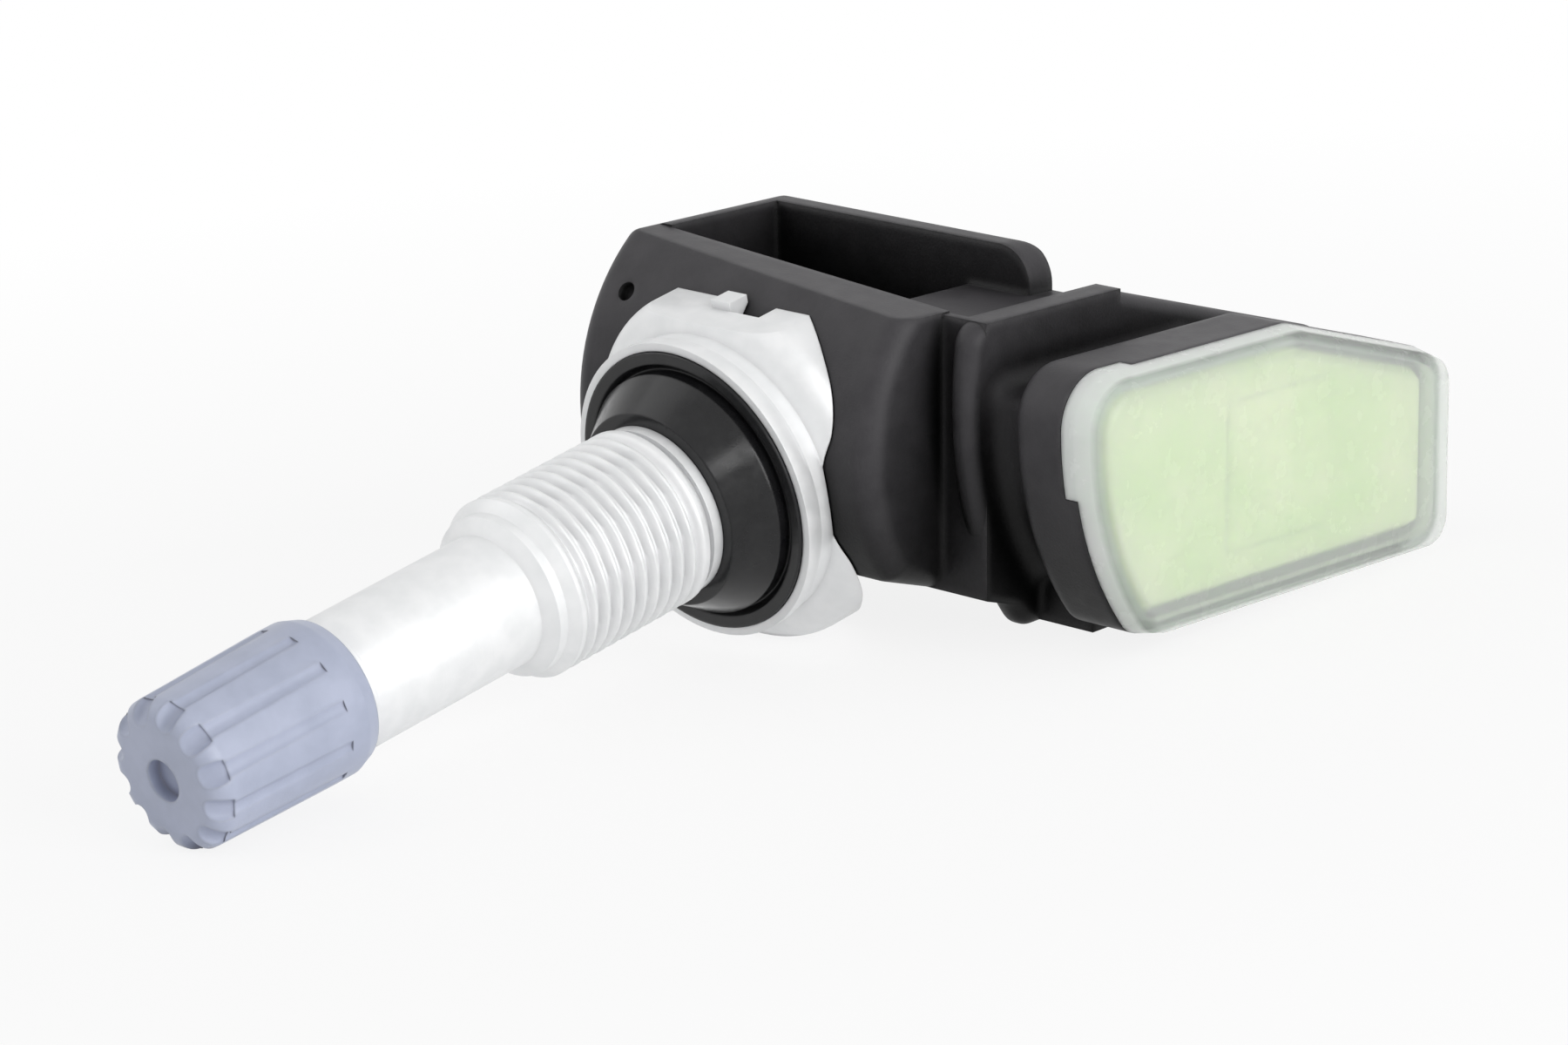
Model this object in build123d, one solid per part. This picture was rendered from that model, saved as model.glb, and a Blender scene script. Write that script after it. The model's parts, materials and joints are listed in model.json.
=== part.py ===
from build123d import *
import os
from math import acos, atan2, cos, degrees, hypot, radians, sin, sqrt, tan

# Tyre pressure sensor on a clamp-in metal valve. All sizes in millimetres.
# The housing and the valve meet at a swivel: a barrel on the housing and a saddle on
# the valve turn about one X axis. Housing pieces are drawn about that axis with the
# housing level; valve pieces are drawn along Y with the middle of the mounting thread
# at y = 0 and the cap on the minus side. Both are then laid down the way the sensor
# comes to rest on a table.

# Swivel
barrel_radius = 12.8
barrel_wall = 2.4
swivel_gap = 0.08
valve_droop = 11.1
droop_low = -3.0
droop_high = 15.0

# Valve base and rim seal
base_radius = 10.9
base_waist = 2.2
base_flat = 9.5
base_back_depth = 11.0
base_full_depth = 3.0
base_round = 1.6
base_shoulder_depth = 2.3
base_groove_depth = 1.3
base_groove_radius = 8.95
base_lip_radius = 9.2
base_lip_length = 0.9
nib_side = 0.4
nib_width = 1.5
nib_height = 0.5
nib_length = 1.5
notch_width = 2.3
notch_depth = 0.8
grommet_radius = 8.65
grommet_pocket_depth = 2.0
grommet_proud = 0.2
grommet_step = 0.9
grommet_cone_radius = 7.5
grommet_nose_radius = 6.0
grommet_nose_length = 2.8
rubber_fit = 0.03

# Valve stem
neck_radius = 5.0
collar_length = 0.75
collar_radius = 5.25
relief_length = 0.6
relief_radius = 4.9
thread_radius = 5.5
thread_length = 10.4
thread_pitch = 1.0
thread_depth = 0.5
thread_crest = 0.2
thread_root = 0.25
nose_length = 1.8
nose_step = 0.6
nose_radius = 4.9
stem_radius = 4.0
stem_length = 12.2
tip_radius = 3.75
tip_length = 10.2
tip_pitch = 0.794
tip_depth = 0.4
tip_chamfer = 0.5
air_radius = 1.5

# Valve core
core_bore_radius = 2.65
core_bore_depth = 8.6
core_cone_length = 1.2
core_chamber_radius = 2.2
core_chamber_length = 10.0
core_fit = 0.05
core_plug_length = 5.0
core_plug_inset = 0.6
core_plug_bore = 1.0
core_key_width = 3.0
core_key_length = 2.0
core_barrel_radius = 1.5
core_barrel_bore = 1.05
core_barrel_length = 8.8
core_gasket_length = 1.6
core_gasket_radius = 2.1
core_gasket_flare = 0.27
core_pin_radius = 0.45
core_pin_inset = 0.3
core_foot_radius = 0.9
core_foot_length = 0.5
core_seal_radius = 1.8
core_seal_length = 0.9
core_collar_radius = 0.8
core_collar_length = 0.5
core_collar_depth = 1.2
core_spring_wire = 0.2
core_spring_turns = 8
core_spring_fit = 0.2
core_travel = 1.0

# Cap
cap_length = 11.8
cap_end_wall = 1.5
cap_outer_radius = 4.7
cap_skirt_radius = 4.4
cap_skirt_length = 0.9
cap_ring_length = 2.2
cap_ribs = 12
cap_rib_draft = 1.4
cap_groove_radius = 0.6
cap_groove_wall = 0.35
cap_groove_rise = 2.2
cap_notch_radius = 0.75
cap_notch_start = 1.3
cap_notch_length = 2.4
cap_notch_turn = 38.0
cap_fit = 0.1
cap_edge = 1.2
cap_dimple_radius = 1.25
cap_dimple_depth = 0.8
seal_thickness = 0.8
seal_bore = 1.4
seal_gap = 0.05

# Fixing screw and the washer under its head
screw_radius = 2.0
screw_engagement = 8.0
screw_end_gap = 0.5
screw_fit = 0.05
screw_air_radius = 0.8
screw_head_radius = 3.8
screw_head_length = 3.0
star_radius = 1.75
star_lobes = 6
star_lobe_radius = 0.55
star_lobe_place = 1.93
star_depth = 1.9
slot_clearance = 0.2
washer_half = 4.4
washer_edge = 1.0

# Valve frame of the housing
frame_left = -12.2
barrel_right = 12.3
frame_back = 5.1
frame_bottom = -9.4
barrel_low = -7.2
foot_start = -3.2
rim_top = 10.0
rim_wall = 2.0
frame_round = 1.4
rim_round = 0.7
pocket_right = 5.6
pocket_floor = -7.0
shelf_top = 7.2
core_front = -6.6
back_wall_right = 10.4
back_wall_round = 2.4
driver_hole_radius = 3.5
dimple_radius = 0.6
dimple_depth = 0.7
dimple_place = (-9.3, 6.9)

# Electronics tub of the housing
flange_left = 13.8
flange_thickness = 1.9
flange_top = 8.1
flange_bottom = -10.8
flange_round = 1.5
flange_edge = 0.8
web_inset = 1.2
web_rise = 0.3
web_height = 4.0
neck_width = 3.2
neck_inset = 2.2
neck_round = 1.2
tub_front_top = -7.4
tub_front_mid = (-7.9, 1.0)
tub_front_low = -3.1
tub_top = 6.3
tub_bottom = -9.7
tub_back = 24.2
tub_slope = 16.4
tub_slope_start = 4.4
tub_round = 2.2
tub_front_round = 3.2
tub_edge = 0.8
tub_depth = 4.6
tub_wall = 1.6
ledge_depth = 3.6
cavity_floor_wall = 3.1
cavity_wall = 1.3
port_radius = 0.8

# Translucent end cover and the potting behind it
cover_depth = 2.3
cover_draft = 12.0
cover_wall = 0.7
cover_face = 0.8
cover_edge = 0.5
cover_fit = 0.05
skirt_depth = 0.9
skirt_wall = 0.8
skirt_low = -0.8
skirt_back = -3.0
potting_fit = 0.1
potting_gap = 0.25
brim_inset = 1.2
brim_draft = 35.0
bulge_height = 0.35
bulge_size = (9.2, 9.0)
bulge_place = (9.0, -1.7)
insert_fit = 0.03

# Electronics
board_thickness = 0.8
board_fit = 0.15
cell_radius = 6.25
cell_height = 2.0
cell_place = (8.2, -1.7)
tab_width = 3.0
tab_thickness = 0.2
tab_reach = 8.2
chip_size = 5.0
chip_height = 1.8
chip_share = 0.661
chip_up = -2.9
seal_ring_radius = 2.3
seal_ring_bore = 1.0
coil_length = 7.2
coil_width = 2.6
coil_height = 2.4
coil_flange = 0.8
coil_place = (3.4, -3.4)
crystal_length = 3.2
crystal_width = 2.5
crystal_height = 0.8
crystal_place = (8.6, 1.2)
chip_cap_length = 1.6
chip_cap_width = 0.8
chip_cap_places = ((9.4, -5.6), (9.4, -3.6), (9.4, -1.6))
aerial_wire = 0.5
aerial_height = 2.2
aerial_span = 7.0
aerial_back = 4.8
aerial_down = 6.7

# How near two places count as one when an edge is picked
edge_match = 0.01

# Past every face, for cuts that run right through
reach = 4 * barrel_radius

# Places along the valve, counted from the swivel axis
inner_radius = barrel_radius - barrel_wall
washer_seat = sqrt((inner_radius - swivel_gap)**2 - washer_half**2) - washer_edge
base_front = barrel_radius + base_waist
seat = base_front + grommet_proud
grommet_back = base_front - grommet_pocket_depth
grommet_end = seat + grommet_nose_length
collar_end = grommet_end + collar_length
thread_start = collar_end + relief_length
thread_end = thread_start + thread_length
thread_middle = thread_start + thread_length / 2
stem_start = thread_end + nose_length
tip_start = stem_start + stem_length
tip_end = tip_start + tip_length
cap_floor = tip_end + seal_thickness + 2 * seal_gap
cap_end = cap_floor + cap_end_wall
cap_start = cap_end - cap_length
base_edge = base_front - base_full_depth
saddle_radius = barrel_radius + swivel_gap
screw_hole_end = saddle_radius + screw_engagement
core_bore_end = tip_end - core_bore_depth
core_cone_end = core_bore_end - core_cone_length
core_chamber_end = core_cone_end - core_chamber_length

# Places across the tub, counted from the valve's axis
flange_right = flange_left + flange_thickness
neck_right = flange_right + neck_width
tub_open = neck_right + tub_depth
ledge = tub_open - ledge_depth
cavity_floor = flange_left + cavity_floor_wall
board_top = ledge + board_thickness
cell_top = board_top + tab_thickness + cell_height
cover_end = tub_open + cover_depth
cover_inner = cover_end - cover_face
skirt_start = tub_open - skirt_depth
roof_fall = tan(radians(tub_slope))
chip_place = (chip_share * tub_back, chip_up)
aerial_roof = flange_top - roof_fall * (tub_back - aerial_back - tub_slope_start)
aerial_place = (tub_back - aerial_back, aerial_roof - aerial_down)

# Laying the sensor down: the table touches the valve base, the cap's tip and the tub's lower edge.
# The valve droops until base and tip touch, then rolls about its own axis until the tub does.
cap_tip_radius = cap_outer_radius - tan(radians(cap_rib_draft)) * (cap_length - cap_ring_length)
cap_touch = cap_end - cap_edge
shoulder_turn = atan2(base_radius - base_groove_radius, base_full_depth - base_shoulder_depth)
base_touch = base_edge - base_round * tan(shoulder_turn / 2)
rest_droop = degrees(atan2(base_radius - cap_tip_radius, cap_touch - base_touch))
tub_reach = tub_back - tub_round
tub_touch_out = tub_reach * cos(radians(valve_droop)) + tub_bottom * sin(radians(valve_droop))
tub_touch_up = tub_bottom * cos(radians(valve_droop)) - tub_reach * sin(radians(valve_droop))
table_up = -base_radius - tan(radians(rest_droop)) * (tub_touch_out + base_touch)
rest_roll = degrees(acos(table_up / hypot(tub_open, tub_touch_up)) - atan2(tub_open, tub_touch_up))
valve_place = Location((0, 0, 0), (rest_droop, 0, 0)) * Location((0, 0, 0), (0, rest_roll, 0))
housing_place = valve_place * Location((0, thread_middle, 0), (-valve_droop, 0, 0))


def along(length):
    """The valve's y for a distance from the swivel axis."""
    return thread_middle - length


def turned(*profile):
    """A solid turned about the valve axis from (radius, distance) pairs."""
    outline = Polyline(*[(radius, along(length)) for radius, length in profile], close=True)
    return revolve(make_face(outline), Axis.Y)


def rod(radius, start, end):
    """A plain rod on the valve axis."""
    return turned((0, start), (radius, start), (radius, end), (0, end))


def ring_edges(piece, radius, length):
    """The round edges of a turned piece with that radius, at a distance from the swivel axis."""
    rings = piece.edges().filter_by(GeomType.CIRCLE)
    return [
        ring for ring in rings
        if abs(ring.radius - radius) < edge_match and abs(ring.arc_center.Y - along(length)) < edge_match
    ]


def valve_block(x_range, up_range, length_range):
    """A block in the valve's own directions."""
    return block(x_range, (along(length_range[1]), along(length_range[0])), up_range)


def block(x_range, y_range, z_range):
    """A block between pairs of coordinates."""
    size = [high - low for low, high in (x_range, y_range, z_range)]
    centre = [(high + low) / 2 for low, high in (x_range, y_range, z_range)]
    return Pos(*centre) * Box(*size)


def slab(outline, start, end, taper=0):
    """A side view outline carried along X."""
    return extrude(Plane.YZ.offset(start) * outline, end - start, taper=taper)


def disc(radius, place, start, end):
    """A round piece that stands along X at a (y, z) place."""
    return slab(Pos(*place) * Circle(radius), start, end)


def tile(size, place, start, end):
    """A rectangular piece that stands along X at a (y, z) place."""
    return slab(Pos(*place) * Rectangle(*size), start, end)


# Valve stem with its saddle base
def thread_ridges(radius, depth, pitch, start, end):
    """Profile of a thread between two distances, with one ridge for each of its turns."""
    turns = int((end - start) / pitch)
    first = (start + end - turns * pitch) / 2
    points = []
    for turn in range(turns):
        crest = first + pitch * turn
        points += [
            (radius, crest + pitch * thread_crest / 2),
            (radius - depth, crest + pitch * (1 - thread_root) / 2),
            (radius - depth, crest + pitch * (1 + thread_root) / 2),
            (radius, crest + pitch * (1 - thread_crest / 2)),
        ]
    return points


def make_valve_stem():
    outline = turned(
        (0, base_front - base_back_depth),
        (base_radius, base_front - base_back_depth),
        (base_radius, base_edge),
        (base_groove_radius, base_front - base_shoulder_depth),
        (base_groove_radius, base_front - base_groove_depth),
        (base_lip_radius, base_front - base_lip_length),
        (base_lip_radius, base_front),
        (grommet_radius + rubber_fit, base_front),
        (grommet_radius + rubber_fit, grommet_back),
        (neck_radius, grommet_back),
        (neck_radius, grommet_end + rubber_fit),
        (collar_radius, grommet_end + rubber_fit),
        (collar_radius, collar_end),
        (relief_radius, collar_end),
        (relief_radius, thread_start),
        (thread_radius, thread_start),
        *thread_ridges(thread_radius, thread_depth, thread_pitch, thread_start, thread_end),
        (thread_radius, thread_end),
        (nose_radius, thread_end + nose_step),
        (nose_radius, stem_start - nose_step),
        (stem_radius, stem_start),
        (stem_radius, tip_start - tip_chamfer),
        (tip_radius, tip_start),
        *thread_ridges(tip_radius, tip_depth, tip_pitch, tip_start, tip_end - tip_chamfer),
        (tip_radius, tip_end - tip_chamfer),
        (tip_radius - tip_chamfer, tip_end),
        (0, tip_end),
    )
    outline = fillet(ring_edges(outline, base_radius, base_edge), base_round)
    barrel_room = Pos(0, thread_middle, 0) * Rot(0, 90, 0) * Cylinder(saddle_radius, reach)
    flat = valve_block((-reach, reach), (base_flat, reach), (0, base_front))
    top_back = sqrt(saddle_radius**2 - base_flat**2)
    nib_room = (base_flat - notch_depth, base_flat + nib_height)
    nib = valve_block((nib_side - nib_width, nib_side), nib_room, (top_back, top_back + nib_length))
    notch = valve_block((nib_side, nib_side + notch_width), nib_room, (0, top_back + nib_length))
    bores = (
        rod(screw_radius + screw_fit, 0, screw_hole_end)
        + rod(air_radius, 0, tip_end)
        + turned(
            (0, core_chamber_end),
            (core_chamber_radius, core_chamber_end),
            (core_chamber_radius, core_cone_end),
            (core_bore_radius, core_bore_end),
            (core_bore_radius, tip_end),
            (0, tip_end),
        )
    )
    return outline - flat + nib - notch - barrel_room - bores


def make_grommet():
    bore = neck_radius + rubber_fit
    return turned(
        (bore, grommet_back + rubber_fit),
        (grommet_radius, grommet_back + rubber_fit),
        (grommet_radius, seat),
        (grommet_cone_radius + grommet_step / 2, seat),
        (grommet_cone_radius, seat - grommet_step / 2),
        (grommet_cone_radius, seat + grommet_step / 2),
        (grommet_nose_radius, grommet_end),
        (bore, grommet_end),
    )


# Valve core, screwed into the stem's tip
core_top = tip_end - core_plug_inset
plug_bottom = core_top - core_plug_length
barrel_bottom = plug_bottom - core_barrel_length


def make_core_plug():
    plug = rod(core_bore_radius - core_fit, plug_bottom, core_top)
    key_zone = (core_top - core_key_length, core_top)
    wide = (-core_bore_radius, core_bore_radius)
    side = (core_key_width / 2, core_bore_radius)
    flats = [valve_block(wide, side, key_zone), valve_block(wide, (-side[1], -side[0]), key_zone)]
    return plug - flats - rod(core_plug_bore, plug_bottom, core_top)


def make_core_barrel():
    tube = rod(core_barrel_radius, barrel_bottom, plug_bottom)
    guide = barrel_bottom + core_collar_length
    tube -= rod(core_barrel_bore, guide, plug_bottom)
    return tube - rod(core_pin_radius + core_fit, barrel_bottom, guide)


def make_core_gasket():
    bore = core_barrel_radius + rubber_fit
    start = core_cone_end + rubber_fit
    return turned(
        (bore, start - core_gasket_length / 2),
        (core_gasket_radius, start - core_gasket_length / 2),
        (core_gasket_radius, start),
        (core_gasket_radius + core_gasket_flare, start + core_gasket_length / 2),
        (bore, start + core_gasket_length / 2),
    )


seal_top = barrel_bottom - rubber_fit
seal_bottom = seal_top - core_seal_length
pin_collar_top = plug_bottom - core_collar_depth
pin_collar_bottom = pin_collar_top - core_collar_length


def make_core_pin():
    return (
        rod(core_pin_radius, seal_bottom - core_foot_length, tip_end - core_pin_inset)
        + rod(core_foot_radius, seal_bottom - core_foot_length, seal_bottom)
        + rod(core_collar_radius, pin_collar_bottom, pin_collar_top)
    )


def make_core_seal():
    return turned(
        (core_pin_radius + rubber_fit, seal_bottom + rubber_fit),
        (core_seal_radius, seal_bottom + rubber_fit),
        (core_seal_radius, seal_top),
        (core_pin_radius + rubber_fit, seal_top),
    )


def make_core_spring():
    """The coil between the pin's collar and the foot of the barrel, drawn as it is with the pin pressed."""
    low = barrel_bottom + core_collar_length + core_travel + core_spring_wire
    high = pin_collar_bottom - core_spring_wire
    radius = core_barrel_bore - core_spring_fit - core_spring_wire / 2
    coil = Helix((high - low) / core_spring_turns, high - low, radius)
    wire = sweep(Plane(coil @ 0, z_dir=coil % 0) * Circle(core_spring_wire / 2), path=coil, is_frenet=True)
    return Pos(0, along(low), 0) * Rot(90, 0, 0) * wire


# Cap with its seal
def cap_cutter(radius, floor, length, tilt, span):
    """A round cutter over the cap's wall; its floor starts at a distance, and dips outwards."""
    cutter = Pos(0, -span / 2, 0) * Rot(90, 0, 0) * Cylinder(radius, span)
    return Pos(0, along(length), floor) * Rot(tilt, 0, 0) * Pos(0, 0, radius) * cutter


def make_cap():
    shell = turned(
        (0, cap_start),
        (cap_skirt_radius, cap_start),
        (cap_outer_radius, cap_start + cap_skirt_length),
        (cap_outer_radius, cap_start + cap_ring_length),
        (cap_tip_radius, cap_end),
        (0, cap_end),
    )
    shell = fillet(ring_edges(shell, cap_tip_radius, cap_end), cap_edge)
    groove_start = cap_start + cap_ring_length
    bore_radius = tip_radius + cap_fit
    groove_floor = bore_radius + cap_groove_wall
    groove_lift = tan(radians(cap_groove_rise)) * (cap_end - groove_start)
    groove_high = groove_floor + groove_lift
    groove = cap_cutter(cap_groove_radius, groove_high, groove_start, cap_groove_rise, cap_length)
    notch_start = cap_end - cap_notch_start
    notch = cap_cutter(cap_notch_radius, groove_floor, notch_start, cap_notch_turn, cap_notch_length)
    step = 360 / cap_ribs
    cuts = [Rot(0, step * (turn + 0.5), 0) * cut for turn in range(cap_ribs) for cut in (groove, notch)]
    bore = rod(bore_radius, cap_start, cap_floor)
    dimple = rod(cap_dimple_radius, cap_end - cap_dimple_depth, cap_end)
    return shell - bore - dimple - cuts


def make_cap_seal():
    start = tip_end + seal_gap
    ring = rod(tip_radius, start, start + seal_thickness)
    return ring - rod(seal_bore, start, start + seal_thickness)


# Fixing screw through the barrel's slot, with its saddle washer
def make_screw():
    head_back = washer_seat - screw_head_length
    body = rod(screw_head_radius, head_back, washer_seat)
    body += rod(screw_radius, washer_seat, screw_hole_end - screw_end_gap)
    scallops = PolarLocations(star_lobe_place, star_lobes) * Circle(star_lobe_radius)
    star = Circle(star_radius) - scallops
    star_face = Plane((0, along(head_back), 0), z_dir=(0, -1, 0)) * star
    return body - extrude(star_face, star_depth) - rod(screw_air_radius, head_back, screw_hole_end)


def make_washer():
    side = (-washer_half, washer_half)
    slug = valve_block(side, side, (washer_seat, inner_radius))
    shell = Pos(0, thread_middle, 0) * Rot(0, 90, 0) * Cylinder(inner_radius - swivel_gap, reach)
    return (slug & shell) - rod(screw_radius + screw_fit, 0, barrel_radius)


# Side view outlines of the tub, drawn as (y, z)
def end_outline(top, bottom, rounding, front_rounding):
    """The tub's end: flat top, slope to the back, flat bottom and a bowed front."""
    back_top = flange_top - roof_fall * (tub_back - tub_slope_start)
    edges = Polyline(
        (tub_front_top, flange_top),
        (tub_slope_start, flange_top),
        (tub_back, back_top),
        (tub_back, tub_bottom),
        (tub_front_low, bottom),
    )
    front = ThreePointArc((tub_front_low, bottom), tub_front_mid, (tub_front_top, flange_top))
    outline = make_face(edges + front)
    if top < flange_top:
        outline = outline - Pos(0, top + reach / 2) * Rectangle(2 * reach, reach)
    outline = fillet(outline.vertices().sort_by_distance((tub_front_top, top))[:1], front_rounding)
    corners = [corner for corner in outline.vertices() if corner.X > 0 or corner.Y < 0]
    return fillet(corners, rounding)


tub_outline = end_outline(tub_top, tub_bottom, tub_round, tub_front_round)


def skirt_band(clearance):
    """The strip of the tub's edge that the cover's skirt hooks over, on the upper front."""
    band = tub_outline - offset(tub_outline, -skirt_wall - clearance)
    corner = Pos(skirt_back - reach / 2, skirt_low - clearance + reach / 2) * Rectangle(reach, reach)
    return band & corner


# Housing: valve frame, flange, neck and tub in one moulding
def make_frame():
    rim_front = -sqrt(barrel_radius**2 - rim_top**2)
    foot_front = -sqrt(barrel_radius**2 - barrel_low**2)
    front = ThreePointArc((rim_front, rim_top), (-barrel_radius, 0), (foot_front, barrel_low))
    edges = Polyline(
        (foot_front, barrel_low),
        (foot_start, frame_bottom),
        (frame_back, frame_bottom),
        (frame_back, rim_top),
        (rim_front, rim_top),
    )
    outline = make_face(front + edges)
    core_size = (frame_back - core_front, flange_top + barrel_radius)
    core_room = Pos(frame_back - core_size[0] / 2, flange_top - core_size[1] / 2) * Rectangle(*core_size)
    core = slab(outline & core_room, back_wall_right, flange_right)
    outline = fillet(outline.vertices(), rim_round)
    frame = slab(outline, frame_left, barrel_right)
    frame = fillet(frame.faces().filter_by(Axis.X).edges(), frame_round) + core

    wall_back = rim_front + rim_wall
    pocket_back = frame_back - rim_wall
    pocket_low = -sqrt(inner_radius**2 - pocket_floor**2)
    pocket_high = sqrt(inner_radius**2 - wall_back**2)
    pocket_front = ThreePointArc((wall_back, pocket_high), (-inner_radius, 0), (pocket_low, pocket_floor))
    pocket_edges = Polyline(
        (pocket_low, pocket_floor),
        (pocket_back, pocket_floor),
        (pocket_back, reach),
        (wall_back, reach),
        (wall_back, pocket_high),
    )
    pocket = slab(make_face(pocket_front + pocket_edges), frame_left + rim_wall, pocket_right)
    shelf = block((pocket_right - rim_wall, flange_left), (wall_back, pocket_back), (shelf_top, reach))
    drop_start = back_wall_right - back_wall_round
    drop_top = rim_top - back_wall_round
    drop_edges = Polyline(
        (back_wall_right, drop_top),
        (back_wall_right, shelf_top),
        (flange_left, shelf_top),
        (flange_left, reach),
        (drop_start, reach),
        (drop_start, rim_top),
    )
    wall_end = RadiusArc((drop_start, rim_top), (back_wall_right, drop_top), back_wall_round)
    back_drop = extrude(Plane.XZ.offset(-wall_back) * make_face(drop_edges + wall_end), -reach)
    rim_slope = Polyline(
        (frame_left, rim_top),
        (flange_left, flange_top),
        (flange_left, reach),
        (frame_left, reach),
        close=True,
    )
    front_slope = extrude(Plane.XZ.offset(-wall_back) * make_face(rim_slope), reach)
    return frame - pocket - shelf - back_drop - front_slope


def make_housing():
    flange_outline = end_outline(flange_top, flange_bottom, flange_round, flange_round)
    flange = slab(flange_outline, flange_left, flange_right)
    flange = fillet(flange.faces().filter_by(Axis.X).edges(), flange_edge)
    tub = slab(tub_outline, neck_right, tub_open)
    tub = fillet(tub.faces().sort_by(Axis.X)[0].edges(), tub_edge)
    neck_outline = offset(tub_outline, -neck_inset)
    body = flange + slab(neck_outline, flange_left, tub_open) + tub
    neck_edges = slab(neck_outline, flange_right, neck_right).faces().filter_by(Axis.X).edges()
    places = [edge.center() for edge in neck_edges]

    def at_root(edge):
        return min((edge.center() - place).length for place in places) < edge_match

    housing = make_frame() + fillet(body.edges().filter_by(at_root), neck_round)
    web_front = tub_front_low + web_inset
    web_outline = Polyline(
        (web_front, flange_bottom + web_rise),
        (tub_reach, tub_bottom),
        (tub_reach, tub_bottom + web_height),
        (web_front, tub_bottom + web_height),
        close=True,
    )
    housing += slab(make_face(web_outline), flange_left, neck_right + tub_edge)

    slot_radius = screw_radius + slot_clearance
    slot_middle = -barrel_radius + barrel_wall / 2
    slot_bar = Pos(0, slot_middle, 0) * Rot(90, 0, 0) * Cylinder(slot_radius, 2 * barrel_wall)
    slot_face = Pos(0, slot_middle) * Rectangle(2 * slot_radius, 2 * barrel_wall)
    slot = Rot(droop_low, 0, 0) * (slot_bar + revolve(slot_face, Axis.X, droop_high - droop_low))
    slot += Rot(droop_high, 0, 0) * slot_bar
    driver_hole = Rot(90, 0, 0) * Cylinder(driver_hole_radius, 2 * rim_wall + frame_round)
    driver_hole = Pos(0, frame_back, 0) * driver_hole
    dimple_y = -sqrt(barrel_radius**2 - dimple_place[1]**2)
    dimple_turn = degrees(atan2(dimple_place[1], -dimple_y))
    dimple = Rot(-dimple_turn, 0, 0) * Pos(dimple_place[0], -barrel_radius, 0) * Rot(90, 0, 0) * Cylinder(
        dimple_radius, 2 * dimple_depth)

    cavity = slab(offset(tub_outline, -tub_wall), ledge, tub_open)
    cavity += slab(offset(tub_outline, -neck_inset - cavity_wall), cavity_floor, tub_open)
    port = disc(port_radius, chip_place, flange_left, tub_open)
    skirt_room = slab(skirt_band(cover_fit), skirt_start - cover_fit, tub_open)
    return housing - slot - driver_hole - dimple - cavity - port - skirt_room


# Cover and potting
def make_cover():
    cup = slab(tub_outline, tub_open, cover_end, cover_draft)
    cup = fillet(cup.faces().sort_by(Axis.X)[-1].edges(), cover_edge)
    cup -= slab(offset(tub_outline, -cover_wall), tub_open, cover_inner, cover_draft)
    return cup + slab(skirt_band(0), skirt_start, tub_open)


def make_potting():
    fill = slab(offset(tub_outline, -tub_wall - potting_fit), board_top, tub_open)
    brim_top = cover_inner - potting_gap - bulge_height
    fill += slab(offset(tub_outline, -brim_inset), tub_open, brim_top, brim_draft)
    bulge = tile(bulge_size, bulge_place, tub_open, cover_inner - potting_gap)
    bulge_edges = bulge.edges().filter_by(Axis.X) + bulge.faces().sort_by(Axis.X)[-1].edges()
    fill += fillet(bulge_edges, bulge_height)
    cell_room = disc(cell_radius + insert_fit, cell_place, board_top, cell_top)
    tab_room = tile((2 * tab_reach + 2 * insert_fit, tab_width + 2 * insert_fit), cell_place,
                    board_top, cell_top + tab_thickness + insert_fit)
    aerial_room = tile((aerial_wire + 2 * insert_fit, aerial_span + 2 * insert_fit), aerial_place,
                       board_top, board_top + aerial_height + insert_fit)
    return fill - cell_room - tab_room - aerial_room


# Electronics
def make_board():
    return slab(offset(tub_outline, -tub_wall - board_fit), ledge, board_top)


def make_cell():
    can = disc(cell_radius, cell_place, board_top + tab_thickness, cell_top)
    return chamfer(can.edges().filter_by(GeomType.CIRCLE), tab_thickness)


def make_lower_tab():
    centre = (cell_place[0] - tab_reach / 2, cell_place[1])
    return tile((tab_reach, tab_width), centre, board_top, board_top + tab_thickness)


def make_upper_tab():
    centre = (cell_place[0] + tab_reach / 2, cell_place[1])
    leg_centre = (cell_place[0] + tab_reach - tab_thickness / 2, cell_place[1])
    strip = tile((tab_reach, tab_width), centre, cell_top, cell_top + tab_thickness)
    return strip + tile((tab_thickness, tab_width), leg_centre, board_top, cell_top)


def make_chip():
    return tile((chip_size, chip_size), chip_place, ledge - chip_height, ledge)


def make_port_seal():
    ring = disc(seal_ring_radius, chip_place, cavity_floor, ledge - chip_height)
    return ring - disc(seal_ring_bore, chip_place, cavity_floor, ledge - chip_height)


def make_coil():
    body = tile((coil_length, coil_width), coil_place, ledge - coil_height, ledge)
    waist_length = coil_length - 2 * coil_flange
    band = tile((waist_length, reach), coil_place, 0, reach)
    winding = tile((waist_length, coil_width - coil_flange), coil_place,
                   ledge - coil_height + coil_flange / 2, ledge - coil_flange / 2)
    return body - band + winding


def make_crystal():
    return tile((crystal_length, crystal_width), crystal_place, ledge - crystal_height, ledge)


def make_capacitors():
    size = (chip_cap_length, chip_cap_width)
    return Part() + [tile(size, place, ledge - chip_cap_width, ledge) for place in chip_cap_places]


def make_aerial():
    y, z = aerial_place
    loop = tile((aerial_wire, aerial_span), aerial_place, board_top, board_top + aerial_height)
    return loop - tile((2 * aerial_wire, aerial_span - 2 * aerial_wire), (y, z), board_top,
                       board_top + aerial_height - aerial_wire)


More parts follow.
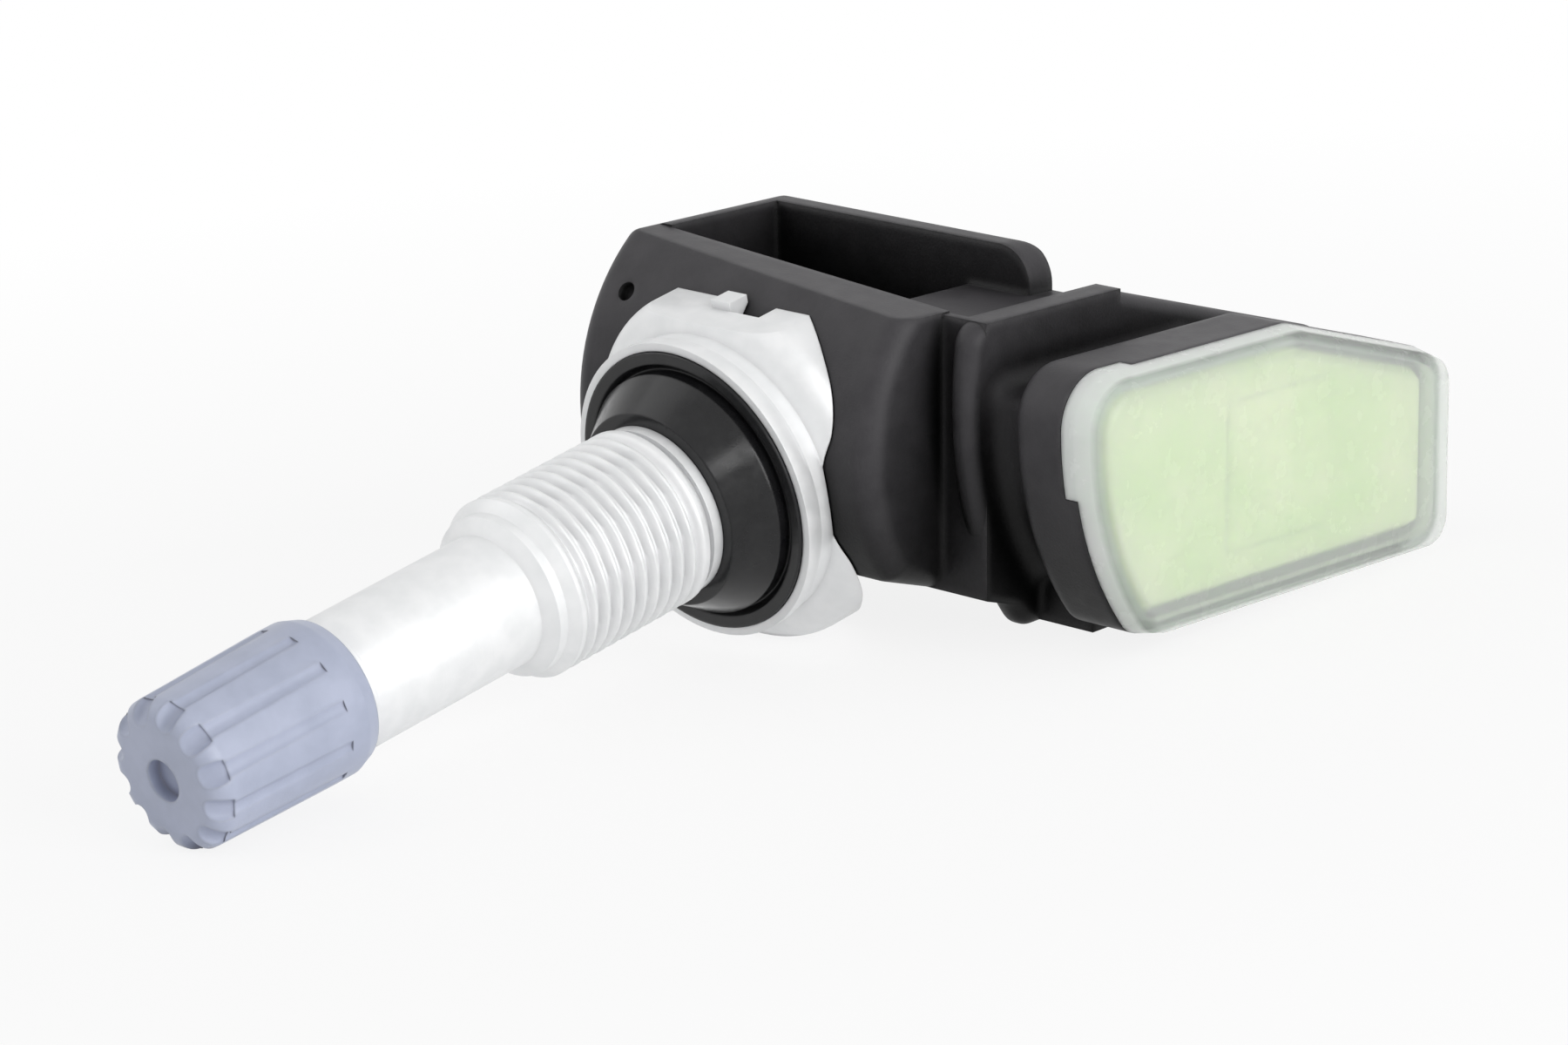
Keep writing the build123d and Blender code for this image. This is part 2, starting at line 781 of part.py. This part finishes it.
housing_pieces = {
    "housing": make_housing(),
    "end_cover": make_cover(),
    "potting": make_potting(),
    "circuit_board": make_board(),
    "battery_cell": make_cell(),
    "battery_lower_tab": make_lower_tab(),
    "battery_upper_tab": make_upper_tab(),
    "pressure_chip": make_chip(),
    "port_seal": make_port_seal(),
    "wake_coil": make_coil(),
    "crystal": make_crystal(),
    "capacitors": make_capacitors(),
    "aerial_loop": make_aerial(),
}
valve_pieces = {
    "valve_stem": make_valve_stem(),
    "rim_grommet": make_grommet(),
    "fixing_screw": make_screw(),
    "saddle_washer": make_washer(),
    "core_plug": make_core_plug(),
    "core_barrel": make_core_barrel(),
    "core_gasket": make_core_gasket(),
    "core_pin": make_core_pin(),
    "core_cup_seal": make_core_seal(),
    "core_spring": make_core_spring(),
    "valve_cap": make_cap(),
    "cap_seal": make_cap_seal(),
}

os.makedirs("parts", exist_ok=True)
for name, piece in housing_pieces.items():
    export_step(housing_place * piece, f"parts/{name}.step")
for name, piece in valve_pieces.items():
    export_step(valve_place * piece, f"parts/{name}.step")
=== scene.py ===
"""Looks for the tyre pressure sensor: threads on the metal valve, materials, studio and camera."""

import json
import math

import bmesh
import bpy
from mathutils import Matrix, Quaternion, Vector


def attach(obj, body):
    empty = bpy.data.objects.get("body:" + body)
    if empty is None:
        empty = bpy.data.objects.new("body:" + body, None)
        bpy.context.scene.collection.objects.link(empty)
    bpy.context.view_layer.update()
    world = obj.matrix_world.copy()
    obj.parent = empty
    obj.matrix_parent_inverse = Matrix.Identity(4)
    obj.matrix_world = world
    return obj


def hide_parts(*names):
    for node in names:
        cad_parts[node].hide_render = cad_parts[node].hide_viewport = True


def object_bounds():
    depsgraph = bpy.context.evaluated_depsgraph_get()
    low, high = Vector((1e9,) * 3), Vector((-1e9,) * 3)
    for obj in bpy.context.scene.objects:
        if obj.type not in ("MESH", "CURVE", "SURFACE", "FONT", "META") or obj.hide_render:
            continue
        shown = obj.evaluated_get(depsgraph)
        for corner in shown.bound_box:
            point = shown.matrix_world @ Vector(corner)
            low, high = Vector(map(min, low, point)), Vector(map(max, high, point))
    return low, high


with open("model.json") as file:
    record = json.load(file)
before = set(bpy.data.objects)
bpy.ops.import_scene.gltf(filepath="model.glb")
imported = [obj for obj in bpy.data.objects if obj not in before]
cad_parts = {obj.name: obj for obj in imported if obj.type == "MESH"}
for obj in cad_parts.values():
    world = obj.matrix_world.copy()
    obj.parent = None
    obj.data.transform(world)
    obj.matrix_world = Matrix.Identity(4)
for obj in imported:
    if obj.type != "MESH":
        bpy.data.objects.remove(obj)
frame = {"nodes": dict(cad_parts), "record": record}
cad_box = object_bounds()
record = frame["record"]
MM = 0.001

# Directions of the valve, from the record
mount = record["mounts"][0]
joints = {joint["name"]: joint for joint in record["behaviour"]["joints"]}
outward = Vector(mount["axis"]).normalized()
sideways = Vector(joints["housing_tilt"]["axis"]).normalized()
valve_frame = Matrix((sideways, -outward, sideways.cross(-outward))).transposed()

# Mounting thread, fine metric
rim_thread_radius = mount["dims"]["r_mm"] * MM
rim_thread_length = mount["dims"]["length_mm"] * MM
rim_thread_pitch = 1.0 * MM
rim_thread_depth = 0.5 * MM

# Cap thread at the valve's tip
tip_thread_radius = 3.75 * MM
tip_thread_length = 9.7 * MM
tip_thread_inset = 0.5 * MM
tip_thread_pitch = 0.794 * MM
tip_thread_depth = 0.4 * MM

# How a thread is drawn: its fineness, and the shares of its profile that are flat
thread_columns = 120
thread_rows_per_turn = 12
crest_share = 0.2
root_share = 0.25
smooth_angle = math.radians(32)

# How a thread joins the CAD valve: how far inside the thread zone the valve is cut, the share of
# the radius outside which its skin comes off, and the width of the strip that closes the gap
thread_cut_margin = 0.1 * MM
thread_skin = 0.85
thread_join = 0.02 * MM

# Vertices this near to each other are one
same_place = 0.0005 * MM

# Noise: the range it seldom leaves, its layers for mottling, smears and grain, and their weight
noise_low = 0.35
noise_high = 0.65
mottle_detail = 3.0
smear_detail = 5.0
grain_detail = 2.0
noise_weight = 0.55
lathe_mark_width = 0.12 * MM

# How many times finer than the mottling smears and wear are
smear_fineness = 2
wear_fineness = 3

# Edges and hollows: how nearly the rounded normal is the plain one where wear is full and where it
# ends, how patchy wear is, how open a place is where its painted shade is darkest and where it has
# none
wear_turn = (0.75, 0.97)
wear_patchiness = (0.35, 1.0)
painted_shade_open = (0.35, 0.9)
ray_samples = 6

# How many times lighter small pieces are where their edges are worn
rubber_wear = 1.6
metal_wear = 1.15
moulded_wear = 1.3

# How milky the cover's walls and its face are, and the depths behind the face where that changes
cover_milk = (0.92, 0.33)
cover_clear = (1.3 * MM, 0.85 * MM)

# Sockets of the node that mixes two colours
mix_factor, mix_first, mix_second = 0, 6, 7
mix_result = 2

# Studio: a table that turns full white a little way off, and a sky that is dim on one side
white = (1.0, 1.0, 1.0, 1.0)
floor_size = 6.0
floor_glow = 0.86
floor_fade = (0.05, 0.16)
floor_colour = (0.9, 0.9, 0.9, 1.0)
sky_light = 0.55
sky_dim = 0.15
sky_dim_side = (48, 4)
sky_dim_spread = (0.1, 0.95)

# Camera, found from the photograph: its direction, its roll, and how far it stands to its own
# right and above the line to the middle of the mounting thread
camera_azimuth = 46.06
camera_elevation = 14.7
camera_roll = -5.62
camera_distance = 324.1 * MM
camera_right = 11.77 * MM
camera_above = 1.76 * MM
camera_lens = 130.0
camera_sensor = 36.0
camera_clip = 0.01


def add_object(name, data):
    """A new object in the scene."""
    piece = bpy.data.objects.new(name, data)
    bpy.context.scene.collection.objects.link(piece)
    return piece


def thread_groove(turn):
    """How far down a thread's flank a place is: 0 on the crest and 1 at the root."""
    away = 1 - abs(2 * (turn % 1.0) - 1)
    return min(max((away - crest_share) / (1 - crest_share - root_share), 0.0), 1.0)


def ease(value):
    """0 to 1 with a soft start and stop."""
    value = min(max(value, 0.0), 1.0)
    return value * value * (3 - 2 * value)


def add_thread(mesh, start, end, radius, depth, pitch):
    """A helical thread round the valve's axis, from start to end along its y.

    The grid runs a turn past both ends, where its rows fall together.
    """
    turns = math.ceil((end - start) / pitch) + 2
    row_count = turns * thread_rows_per_turn + 1
    grid = []
    for column in range(thread_columns):
        angle = 2 * math.pi * column / thread_columns
        line = []
        for row in range(row_count):
            turn = row / thread_rows_per_turn - 1 + column / thread_columns
            y = min(max(start + pitch * turn, start), end)
            fade = ease((y - start) / pitch) * ease((end - y) / pitch)
            reach = radius - depth * fade * thread_groove(turn)
            line.append(mesh.verts.new((reach * math.sin(angle), y, reach * math.cos(angle))))
        grid.append(line)
    for column, line in enumerate(grid):
        last = column == thread_columns - 1
        shift = thread_rows_per_turn if last else 0
        beside = grid[0] if last else grid[column + 1]
        for row in range(row_count - 1 - shift):
            corners = (line[row], line[row + 1], beside[row + 1 + shift], beside[row + shift])
            mesh.faces.new(corners)
    vertices = [vertex for line in grid for vertex in line]
    bmesh.ops.remove_doubles(mesh, verts=vertices, dist=same_place)


def angle_round_valve(vertex):
    """Where a vertex lies round the valve's axis."""
    return math.atan2(vertex.co.x, vertex.co.z)


def open_ring(mesh, y):
    """The vertices of the open edge that runs round the valve at a place along its y."""
    ring = set()
    for edge in mesh.edges:
        if edge.is_boundary and all(abs(vertex.co.y - y) < same_place for vertex in edge.verts):
            ring.update(edge.verts)
    return sorted(ring, key=angle_round_valve)


def angle_ahead(ring, step):
    """The angle of a ring's next vertex, a full turn more when the ring starts again."""
    turns, place = divmod(step + 1, len(ring))
    return angle_round_valve(ring[place]) + 2 * math.pi * turns


def join_rings(mesh, first, second):
    """Closes the gap between two rings of vertices with triangles."""
    near = far = 0
    while near < len(first) or far < len(second):
        a, b = first[near % len(first)], second[far % len(second)]
        first_lags = angle_ahead(first, near) < angle_ahead(second, far)
        if far == len(second) or (near < len(first) and first_lags):
            near += 1
            c = first[near % len(first)]
        else:
            far += 1
            c = second[far % len(second)]
        mesh.faces.new((a, c, b))


def cut_band(mesh, start, end, radius):
    """Takes the outer skin off the valve between two places along its y."""
    for y in (start, end):
        everything = mesh.verts[:] + mesh.edges[:] + mesh.faces[:]
        bmesh.ops.bisect_plane(
            mesh, geom=everything, dist=same_place, plane_co=(0, y, 0), plane_no=(0, 1, 0),
        )
    skin = []
    for face in mesh.faces:
        centre = face.calc_center_median()
        if start < centre.y < end and math.hypot(centre.x, centre.z) > thread_skin * radius:
            skin.append(face)
    bmesh.ops.delete(mesh, geom=skin, context="FACES")


def make_threaded_valve():
    """The CAD valve with helical threads in place of its two ringed thread zones."""
    valve = frame["nodes"]["valve_stem"]
    mesh = bmesh.new()
    mesh.from_mesh(valve.data)
    mesh.transform(valve_frame.to_4x4().inverted())
    half = rim_thread_length / 2
    tip_start = min(vertex.co.y for vertex in mesh.verts) + tip_thread_inset
    tip_end = tip_start + tip_thread_length
    bands = (
        (-half, half, rim_thread_radius, rim_thread_depth, rim_thread_pitch),
        (tip_start, tip_end, tip_thread_radius, tip_thread_depth, tip_thread_pitch),
    )
    bmesh.ops.remove_doubles(mesh, verts=mesh.verts[:], dist=same_place)
    for start, end, radius, depth, pitch in bands:
        cut = (start + thread_cut_margin, end - thread_cut_margin)
        ends = (cut[0] + thread_join, cut[1] - thread_join)
        cut_band(mesh, *cut, radius)
        add_thread(mesh, *ends, radius, depth, pitch)
        for cut_y, end_y in zip(cut, ends):
            join_rings(mesh, open_ring(mesh, cut_y), open_ring(mesh, end_y))
    bmesh.ops.recalc_face_normals(mesh, faces=mesh.faces[:])
    mesh.transform(valve_frame.to_4x4())
    data = bpy.data.meshes.new("threaded_valve")
    mesh.to_mesh(data)
    mesh.free()
    # The normals that came with the CAD mesh don't fit the threads
    if "custom_normal" in data.attributes:
        data.attributes.remove(data.attributes["custom_normal"])
    data.polygons.foreach_set("use_smooth", [True] * len(data.polygons))
    data.set_sharp_from_angle(angle=smooth_angle)
    piece = add_object("threaded_valve", data)
    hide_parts("valve_stem")
    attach(piece, "valve")
    return piece


def add_node(tree, kind, inputs=None, **settings):
    """A shader node with its settings, and its inputs as values or links."""
    node = tree.nodes.new(kind)
    for name, value in settings.items():
        setattr(node, name, value)
    for name, value in (inputs or {}).items():
        if isinstance(value, bpy.types.NodeSocket):
            tree.links.new(value, node.inputs[name])
        else:
            node.inputs[name].default_value = value
    return node


def own_place(tree):
    """The place in the piece's own coordinates."""
    return add_node(tree, "ShaderNodeTexCoord").outputs["Object"]


def maths(tree, operation, first, second):
    """Two values put together by an operation."""
    return add_node(tree, "ShaderNodeMath", {0: first, 1: second}, operation=operation).outputs[0]


def dot(tree, first, second):
    """The dot product of two directions or places."""
    node = add_node(tree, "ShaderNodeVectorMath", {0: first, 1: second}, operation="DOT_PRODUCT")
    return node.outputs["Value"]


def between(tree, factor, low, high, start=noise_low, end=noise_high):
    """A value that runs from low to high as the factor runs from start to end."""
    inputs = {"Value": factor, "From Min": start, "From Max": end, "To Min": low, "To Max": high}
    return add_node(tree, "ShaderNodeMapRange", inputs).outputs["Result"]


def noise(tree, size, detail=mottle_detail):
    """Noise over the piece's own coordinates, with features of about that size in metres."""
    inputs = {
        "Vector": own_place(tree), "Scale": 1 / size, "Detail": detail, "Roughness": noise_weight,
    }
    return add_node(tree, "ShaderNodeTexNoise", inputs).outputs["Fac"]


def lathe_noise(tree):
    """Noise along the valve's axis only, as fine rings round it."""
    inputs = {
        "W": dot(tree, own_place(tree), outward), "Scale": 1 / lathe_mark_width,
        "Detail": grain_detail,
    }
    return add_node(tree, "ShaderNodeTexNoise", inputs, noise_dimensions="1D").outputs["Fac"]


def opaque(colour):
    """A colour with full opacity, unless it comes from another node."""
    return colour if isinstance(colour, bpy.types.NodeSocket) else (*colour, 1.0)


def mix_colour(tree, factor, first, second):
    """A colour between two others."""
    inputs = {mix_factor: factor, mix_first: opaque(first), mix_second: opaque(second)}
    return add_node(tree, "ShaderNodeMix", inputs, data_type="RGBA").outputs[mix_result]


def bump(tree, height, distance, normal):
    """A normal with bumps on it."""
    inputs = {"Height": height, "Distance": distance, "Normal": normal}
    return add_node(tree, "ShaderNodeBump", inputs).outputs["Normal"]


def worn(tree, rounded, patch):
    """How far a place is rubbed: most where the rounded normal leaves the plain one."""
    plain = add_node(tree, "ShaderNodeNewGeometry").outputs["Normal"]
    rubbed = between(tree, dot(tree, rounded, plain), 1.0, 0.0, *wear_turn)
    patchy = between(tree, noise(tree, patch / wear_fineness), *wear_patchiness)
    return maths(tree, "MULTIPLY", rubbed, patchy)


def painted_shade_share(tree, reach):
    """How far a place is closed in by walls within that reach, which is how much painted shade it
    gets.
    """
    inputs = {"Distance": reach}
    around = add_node(tree, "ShaderNodeAmbientOcclusion", inputs, samples=ray_samples)
    return between(tree, around.outputs["AO"], 1.0, 0.0, *painted_shade_open)


def surface(name, colours, roughness, patch, grain, edge, painted_shade=None, turned=None, **sockets):
    """A procedural surface: two mottled colours, uneven roughness, fine grain, worn edges and
    painted shade in hollows.

    patch is the size of the mottling and grain the size and height of the finest bumps, in metres.
    edge is the rounding that shows on sharp edges and the colour they wear to.
    The painted shade in hollows: how near walls must stand to darken a place, and the colour it
    darkens to.
    turned is the height of lathe marks round the valve's axis.
    Other names are sockets of the shader, with _ for each space.
    """
    material = bpy.data.materials.new(name)
    material.use_nodes = True
    tree = material.node_tree
    shader = tree.nodes["Principled BSDF"]
    edge_round, edge_colour = edge
    grain_size, grain_height = grain
    rounded = add_node(tree, "ShaderNodeBevel", {"Radius": edge_round}, samples=ray_samples)
    normal = rounded.outputs["Normal"]

    mottle = between(tree, noise(tree, patch), 0.0, 1.0)
    colour = mix_colour(tree, mottle, *colours)
    colour = mix_colour(tree, worn(tree, normal, patch), colour, edge_colour)
    # Painted shade: the colour is darkened toward the shade colour where walls close the place in
    if painted_shade:
        reach, shade = painted_shade
        colour = mix_colour(tree, painted_shade_share(tree, reach), colour, shade)
    tree.links.new(colour, shader.inputs["Base Color"])

    smears = noise(tree, patch / smear_fineness, smear_detail)
    tree.links.new(between(tree, smears, *roughness), shader.inputs["Roughness"])

    normal = bump(tree, noise(tree, grain_size, grain_detail), grain_height, normal)
    if turned:
        normal = bump(tree, lathe_noise(tree), turned, normal)
    tree.links.new(normal, shader.inputs["Normal"])

    for socket, value in sockets.items():
        shader.inputs[socket.replace("_", " ")].default_value = value
    return material


def plastic_material():
    """Glass-filled black nylon: satin, fine-grained, a little lighter where edges are rubbed, with
    painted shade in its recesses.
    """
    return surface(
        "black_nylon",
        colours=((0.05, 0.048, 0.052), (0.064, 0.0615, 0.066)),
        roughness=(0.41, 0.47),
        patch=2.4 * MM,
        grain=(0.16 * MM, 0.012 * MM),
        edge=(0.8 * MM, (0.11, 0.107, 0.112)),
        # Painted shade: places closed in within 18 mm are darkened to near black
        painted_shade=(18.0 * MM, (0.001, 0.001, 0.001)),
        Specular_IOR_Level=0.18,
    )


def aluminium_material():
    """Bright satin aluminium with faint lathe marks, and painted shade in the thread roots and
    other narrow hollows.
    """
    return surface(
        "satin_aluminium",
        colours=((0.86, 0.87, 0.875), (0.92, 0.925, 0.93)),
        roughness=(0.46, 0.58),
        patch=1.8 * MM,
        grain=(0.09 * MM, 0.003 * MM),
        edge=(0.08 * MM, (0.95, 0.95, 0.95)),
        # Painted shade: narrow hollows such as thread roots are darkened to grey
        painted_shade=(0.6 * MM, (0.6, 0.6, 0.61)),
        turned=0.0012 * MM,
        Metallic=0.35,
    )


def cap_material():
    """Blue-grey plastic of the valve cap, a little chalky on the rib crests, with painted shade in
    the grooves between them.
    """
    return surface(
        "cap_plastic",
        colours=((0.43, 0.47, 0.6), (0.49, 0.53, 0.67)),
        roughness=(0.3, 0.42),
        patch=2.6 * MM,
        grain=(0.12 * MM, 0.006 * MM),
        edge=(0.3 * MM, (0.56, 0.6, 0.7)),
        # Painted shade: the grooves and steps are darkened to a deeper blue-grey
        painted_shade=(0.6 * MM, (0.27, 0.28, 0.37)),
    )


def cover_material(cover):
    """Milky plastic with a mint tint, clearer in the thin face than in the deep walls."""
    material = surface(
        "milky_cover",
        colours=((0.86, 0.95, 0.87), (0.9, 0.97, 0.91)),
        roughness=(0.18, 0.3),
        patch=3.0 * MM,
        grain=(0.5 * MM, 0.006 * MM),
        edge=(0.4 * MM, (0.9, 0.96, 0.92)),
        Subsurface_Weight=0.6,
        Subsurface_Radius=(1.4 * MM, 1.6 * MM, 1.4 * MM),
        Subsurface_Scale=1.0,
    )
    tree = material.node_tree
    face = max(vertex.co.dot(sideways) for vertex in cover.data.vertices)
    deep, thin = (face - depth for depth in cover_clear)
    milk = between(tree, dot(tree, own_place(tree), sideways), *cover_milk, deep, thin)
    tree.links.new(milk, tree.nodes["Principled BSDF"].inputs["Alpha"])
    return material


def potting_material():
    """Soft yellow-green potting gel, slightly wavy, with light spread under its skin."""
    return surface(
        "potting_gel",
        colours=((0.7, 0.9, 0.36), (0.88, 0.98, 0.56)),
        roughness=(0.25, 0.42),
        patch=6.0 * MM,
        grain=(1.6 * MM, 0.015 * MM),
        edge=(0.5 * MM, (0.93, 0.98, 0.78)),
        Subsurface_Weight=0.25,
        Subsurface_Radius=(1.2 * MM, 1.4 * MM, 0.8 * MM),
        Subsurface_Scale=1.0,
    )


def lighter(colour, times):
    """A colour that many times as light, up to white."""
    return tuple(min(times * value, 1.0) for value in colour)


def rubber_material(name, dark, light):
    """Moulded rubber with a soft sheen."""
    return surface(
        name,
        colours=(dark, light),
        roughness=(0.14, 0.25),
        patch=1.4 * MM,
        grain=(0.1 * MM, 0.004 * MM),
        edge=(0.2 * MM, lighter(light, rubber_wear)),
        Specular_IOR_Level=0.34,
    )


def metal_material(name, dark, light):
    """Small metal pieces: steel, brass and plated parts."""
    return surface(
        name,
        colours=(dark, light),
        roughness=(0.25, 0.42),
        patch=0.9 * MM,
        grain=(0.08 * MM, 0.003 * MM),
        edge=(0.08 * MM, lighter(light, metal_wear)),
        Metallic=1.0,
    )


def moulded_material(name, dark, light):
    """Small plastic, ceramic and resin pieces."""
    return surface(
        name,
        colours=(dark, light),
        roughness=(0.4, 0.6),
        patch=0.9 * MM,
        grain=(0.1 * MM, 0.008 * MM),
        edge=(0.1 * MM, lighter(light, moulded_wear)),
    )


def dress(piece, material):
    """Gives a piece its material."""
    piece.data.materials.clear()
    piece.data.materials.append(material)


def direction(azimuth, elevation):
    """The direction from the object to an onlooker; azimuth 0 looks along +Y."""
    around, up = math.radians(azimuth), math.radians(elevation)
    level = math.cos(up)
    return Vector((math.sin(around) * level, -math.cos(around) * level, math.sin(up)))


def seen_by_rays(tree):
    """1 for rays that see the background: straight, in a reflection or through a clear piece."""
    rays = add_node(tree, "ShaderNodeLightPath").outputs
    seen = maths(tree, "MAXIMUM", rays["Is Camera Ray"], rays["Is Glossy Ray"])
    return maths(tree, "MAXIMUM", seen, rays["Is Transmission Ray"])


def make_floor():
    """A white table that keeps the object's shadow and is full white a little way off."""
    data = bpy.data.meshes.new("floor")
    half = floor_size / 2
    low = cad_box[0].z
    corners = [(-half, -half, low), (half, -half, low), (half, half, low), (-half, half, low)]
    data.from_pydata(corners, [], [(0, 1, 2, 3)])
    floor = add_object("floor", data)
    material = bpy.data.materials.new("white_table")
    material.use_nodes = True
    tree = material.node_tree
    tree.nodes.remove(tree.nodes["Principled BSDF"])
    paint = add_node(tree, "ShaderNodeBsdfDiffuse", {"Color": floor_colour}).outputs[0]
    glow = add_node(tree, "ShaderNodeEmission", {"Color": white, "Strength": 1.0}).outputs[0]
    away = add_node(tree, "ShaderNodeVectorMath", {0: own_place(tree)}, operation="LENGTH")
    glowing = between(tree, away.outputs["Value"], floor_glow, 1.0, *floor_fade)
    share = maths(tree, "MULTIPLY", seen_by_rays(tree), glowing)
    both = add_node(tree, "ShaderNodeMixShader", {0: share, 1: paint, 2: glow}).outputs[0]
    tree.links.new(both, tree.nodes["Material Output"].inputs["Surface"])
    dress(floor, material)


def make_world():
    """White surroundings, full white where they are seen; as light they are dim on one side."""
    world = bpy.data.worlds.new("studio")
    bpy.context.scene.world = world
    world.use_nodes = True
    tree = world.node_tree
    outlook = add_node(tree, "ShaderNodeTexCoord").outputs["Generated"]
    dim = dot(tree, outlook, direction(*sky_dim_side))
    light = between(tree, dim, sky_light, sky_dim, *sky_dim_spread)
    strength = between(tree, seen_by_rays(tree), light, 1.0, start=0.0, end=1.0)
    background = tree.nodes["Background"]
    background.inputs["Color"].default_value = white
    tree.links.new(strength, background.inputs["Strength"])


def make_lamp(name, azimuth, elevation, distance, size, power):
    """A soft square lamp that faces the object's middle from that direction."""
    lamp = bpy.data.lights.new(name, "AREA")
    lamp.size = size
    lamp.energy = power
    holder = add_object(name, lamp)
    back = direction(azimuth, elevation)
    holder.location = (cad_box[0] + cad_box[1]) / 2 + back * distance
    holder.rotation_mode = "QUATERNION"
    holder.rotation_quaternion = back.to_track_quat("Z", "Y")


def make_camera():
    """The photograph's view."""
    data = bpy.data.cameras.new("photo_view")
    data.lens = camera_lens
    data.sensor_width = camera_sensor
    data.clip_start = camera_clip
    camera = add_object("photo_view", data)
    back = direction(camera_azimuth, camera_elevation)
    turn = back.to_track_quat("Z", "Y") @ Quaternion((0, 0, 1), math.radians(camera_roll))
    camera.rotation_mode = "QUATERNION"
    camera.rotation_quaternion = turn
    camera.location = turn @ Vector((camera_right, camera_above, camera_distance))
    bpy.context.scene.camera = camera


dress(make_threaded_valve(), aluminium_material())

steel = metal_material("plated_steel", (0.5, 0.5, 0.5), (0.62, 0.62, 0.61))
brass = metal_material("valve_brass", (0.6, 0.44, 0.2), (0.74, 0.56, 0.28))
tinned = metal_material("tinned_strip", (0.6, 0.59, 0.56), (0.72, 0.71, 0.68))
black_rubber = rubber_material("black_rubber", (0.008, 0.008, 0.009), (0.014, 0.014, 0.015))
seal_rubber = rubber_material("seal_rubber", (0.02, 0.02, 0.02), (0.045, 0.045, 0.045))
finishes = {
    "housing": plastic_material(),
    "end_cover": cover_material(frame["nodes"]["end_cover"]),
    "potting": potting_material(),
    "rim_grommet": black_rubber,
    "valve_cap": cap_material(),
    "cap_seal": seal_rubber,
    "port_seal": seal_rubber,
    "core_cup_seal": seal_rubber,
    "core_gasket": rubber_material("red_gasket", (0.22, 0.04, 0.03), (0.32, 0.07, 0.05)),
    "fixing_screw": steel,
    "saddle_washer": steel,
    "core_spring": steel,
    "core_plug": brass,
    "core_barrel": brass,
    "core_pin": brass,
    "battery_cell": metal_material("cell_steel", (0.55, 0.55, 0.54), (0.66, 0.66, 0.64)),
    "battery_lower_tab": tinned,
    "battery_upper_tab": tinned,
    "crystal": tinned,
    "aerial_loop": metal_material("aerial_brass", (0.6, 0.48, 0.24), (0.76, 0.64, 0.36)),
    "circuit_board": moulded_material("board_resin", (0.03, 0.16, 0.07), (0.06, 0.24, 0.11)),
    "pressure_chip": moulded_material("chip_resin", (0.02, 0.02, 0.02), (0.04, 0.04, 0.04)),
    "wake_coil": moulded_material("coil_ferrite", (0.08, 0.065, 0.06), (0.14, 0.12, 0.11)),
    "capacitors": moulded_material("ceramic", (0.36, 0.24, 0.13), (0.48, 0.33, 0.19)),
}
for node, material in finishes.items():
    dress(frame["nodes"][node], material)

make_floor()
make_world()
# Distances and sizes are in metres and powers in watts; the glint is for the rubber seal's cone
make_lamp("key", azimuth=-50, elevation=40, distance=0.45, size=0.4, power=0.36)
make_lamp("fill", azimuth=88, elevation=16, distance=0.5, size=0.3, power=1.35)
make_lamp("glint", azimuth=54, elevation=25, distance=0.5, size=0.12, power=0.15)
make_camera()
bpy.context.scene.view_settings.view_transform = "Standard"
